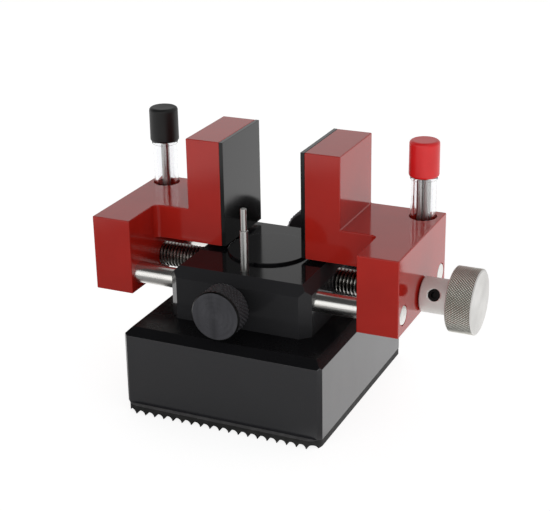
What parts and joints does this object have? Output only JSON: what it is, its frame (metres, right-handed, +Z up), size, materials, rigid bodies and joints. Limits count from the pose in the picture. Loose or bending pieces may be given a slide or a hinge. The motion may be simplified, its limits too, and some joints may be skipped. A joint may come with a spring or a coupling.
{
  "type": "watch case holder",
  "caption": "Bench vise for watch cases: a heavy black base, red self-centring jaws on guide rods and a double-handed lead screw, a hand knob, clamp knobs, a support pin and vials.",
  "frame": {"origin": "on the plane of the foot's underside, straight below the middle of the lead screw, midway between the jaws", "axes": "+X runs along the lead screw towards the hand knob, +Y points to the rear, away from the front clamp knob, +Z points up"},
  "size_m": [0.15, 0.099, 0.1036],
  "materials": {
    "black_rubber": "matte",
    "black_anodised": "satin black anodised",
    "black_polished": "glossy black anodised",
    "black_knurled": "knurled and black anodised",
    "red_anodised": "glossy red anodised",
    "rod_steel": "polished",
    "thread_steel": "rolled thread",
    "knob_steel": "turned and knurled",
    "screw_steel": "satin",
    "pin_steel": "ground",
    "pad_plastic": "matte",
    "clear_plastic": "clear",
    "black_cap_plastic": "glossy",
    "red_cap_plastic": "glossy"
  },
  "bodies": {
    "base": {"rubber_foot": "black_rubber", "base_block": "black_anodised", "base_screws": "screw_steel", "centre_block": "black_polished", "centre_disc": "black_polished", "screw_fork": "screw_steel", "rod_grub_screws": "screw_steel", "front_left_guide_rod": "rod_steel", "rear_left_guide_rod": "rod_steel", "front_right_guide_rod": "rod_steel", "rear_right_guide_rod": "rod_steel"},
    "spindle": {"lead_screw": "thread_steel", "hand_knob": "knob_steel", "hub_screw": "screw_steel"},
    "left_jaw": {"left_jaw": "red_anodised", "left_pad": "pad_plastic"},
    "right_jaw": {"right_jaw": "red_anodised", "right_pad": "pad_plastic"},
    "front_clamp": {"front_clamp_knob": "black_knurled", "front_clamp_stud": "screw_steel"},
    "rear_clamp": {"rear_clamp_knob": "black_knurled", "rear_clamp_stud": "screw_steel"},
    "pin": {"support_pin": "pin_steel"},
    "left_vial": {"left_vial_tube": "clear_plastic"},
    "left_pin": {"left_spare_pin": "pin_steel"},
    "left_cap": {"left_vial_cap": "black_cap_plastic"},
    "right_vial": {"right_vial_tube": "clear_plastic"},
    "right_pins": {"right_spare_pins": "pin_steel"},
    "right_cap": {"right_vial_cap": "red_cap_plastic"}
  },
  "joints": [
    {"name": "screw_turn", "type": "hinge", "parent": "base", "child": "spindle", "pos_m": [0, 0, 0.0478], "axis": [-1, 0, 0], "range_deg": [0, 3816]},
    {"name": "left_jaw_slide", "type": "slide", "parent": "base", "child": "left_jaw", "axis": [1, 0, 0], "range_m": [0, 0.0159]},
    {"name": "right_jaw_slide", "type": "slide", "parent": "base", "child": "right_jaw", "axis": [-1, 0, 0], "range_m": [0, 0.0159]},
    {"name": "front_clamp_turn", "type": "hinge", "parent": "base", "child": "front_clamp", "pos_m": [0, -0.041, 0.0478], "axis": [0, -1, 0], "range_deg": [0, 720]},
    {"name": "rear_clamp_turn", "type": "hinge", "parent": "base", "child": "rear_clamp", "pos_m": [0, 0.041, 0.0478], "axis": [0, 1, 0], "range_deg": [0, 720]},
    {"name": "pin_lift", "type": "slide", "parent": "base", "child": "pin", "axis": [0, 0, 1], "range_m": [0, 0.016]},
    {"name": "left_vial_lift", "type": "slide", "parent": "left_jaw", "child": "left_vial", "axis": [0, 0, 1], "range_m": [0, 0.016]},
    {"name": "left_pin_lift", "type": "slide", "parent": "left_vial", "child": "left_pin", "axis": [0, 0, 1], "range_m": [0, 0.0055]},
    {"name": "left_cap_lift", "type": "slide", "parent": "left_vial", "child": "left_cap", "axis": [0, 0, 1], "range_m": [0, 0.012]},
    {"name": "right_vial_lift", "type": "slide", "parent": "right_jaw", "child": "right_vial", "axis": [0, 0, 1], "range_m": [0, 0.0175]},
    {"name": "right_pins_lift", "type": "slide", "parent": "right_vial", "child": "right_pins", "axis": [0, 0, 1], "range_m": [0, 0.0055]},
    {"name": "right_cap_lift", "type": "slide", "parent": "right_vial", "child": "right_cap", "axis": [0, 0, 1], "range_m": [0, 0.012]}
  ],
  "couplings": [
    {"joint": "screw_turn", "follows": "left_jaw_slide", "rad_per_m": 4188.8},
    {"joint": "right_jaw_slide", "follows": "left_jaw_slide", "ratio": 1}
  ]
}
